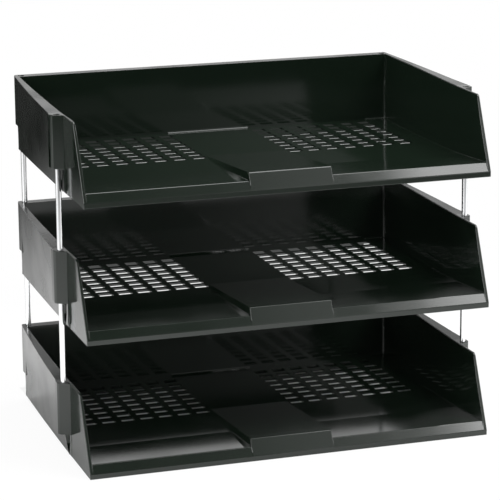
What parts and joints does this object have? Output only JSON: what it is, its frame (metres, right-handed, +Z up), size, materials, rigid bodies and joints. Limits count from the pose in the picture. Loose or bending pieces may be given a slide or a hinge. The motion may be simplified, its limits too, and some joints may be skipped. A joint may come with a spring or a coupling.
{
  "type": "letter tray stack",
  "caption": "Stack of wide-entry letter trays on slender steel riser rods, each tray one moulding with a perforated floor and a finger tab.",
  "frame": {"origin": "on the table, under the centre of the stack's bounding box", "axes": "+X to the right across the trays, +Y from the open fronts to the back walls, +Z up"},
  "size_m": [0.3874, 0.25, 0.3084],
  "materials": {
    "moulding": "gloss",
    "riser": "polished"
  },
  "bodies": {
    "base": {"bottom_tray": "moulding"},
    "lower_risers": {"lower_riser_front_left": "riser", "lower_riser_front_right": "riser", "lower_riser_rear_left": "riser", "lower_riser_rear_right": "riser"},
    "middle": {"middle_tray": "moulding"},
    "upper_risers": {"upper_riser_front_left": "riser", "upper_riser_front_right": "riser", "upper_riser_rear_left": "riser", "upper_riser_rear_right": "riser"},
    "top": {"top_tray": "moulding"}
  },
  "joints": [
    {"name": "lower_risers_lift", "type": "slide", "parent": "base", "child": "lower_risers", "axis": [0, 0, 1], "range_m": [0, 0.03]},
    {"name": "middle_tray_lift", "type": "slide", "parent": "lower_risers", "child": "middle", "axis": [0, 0, 1], "range_m": [0, 0.05]},
    {"name": "upper_risers_lift", "type": "slide", "parent": "middle", "child": "upper_risers", "axis": [0, 0, 1], "range_m": [0, 0.03]},
    {"name": "top_tray_lift", "type": "slide", "parent": "upper_risers", "child": "top", "axis": [0, 0, 1], "range_m": [0, 0.05]}
  ]
}
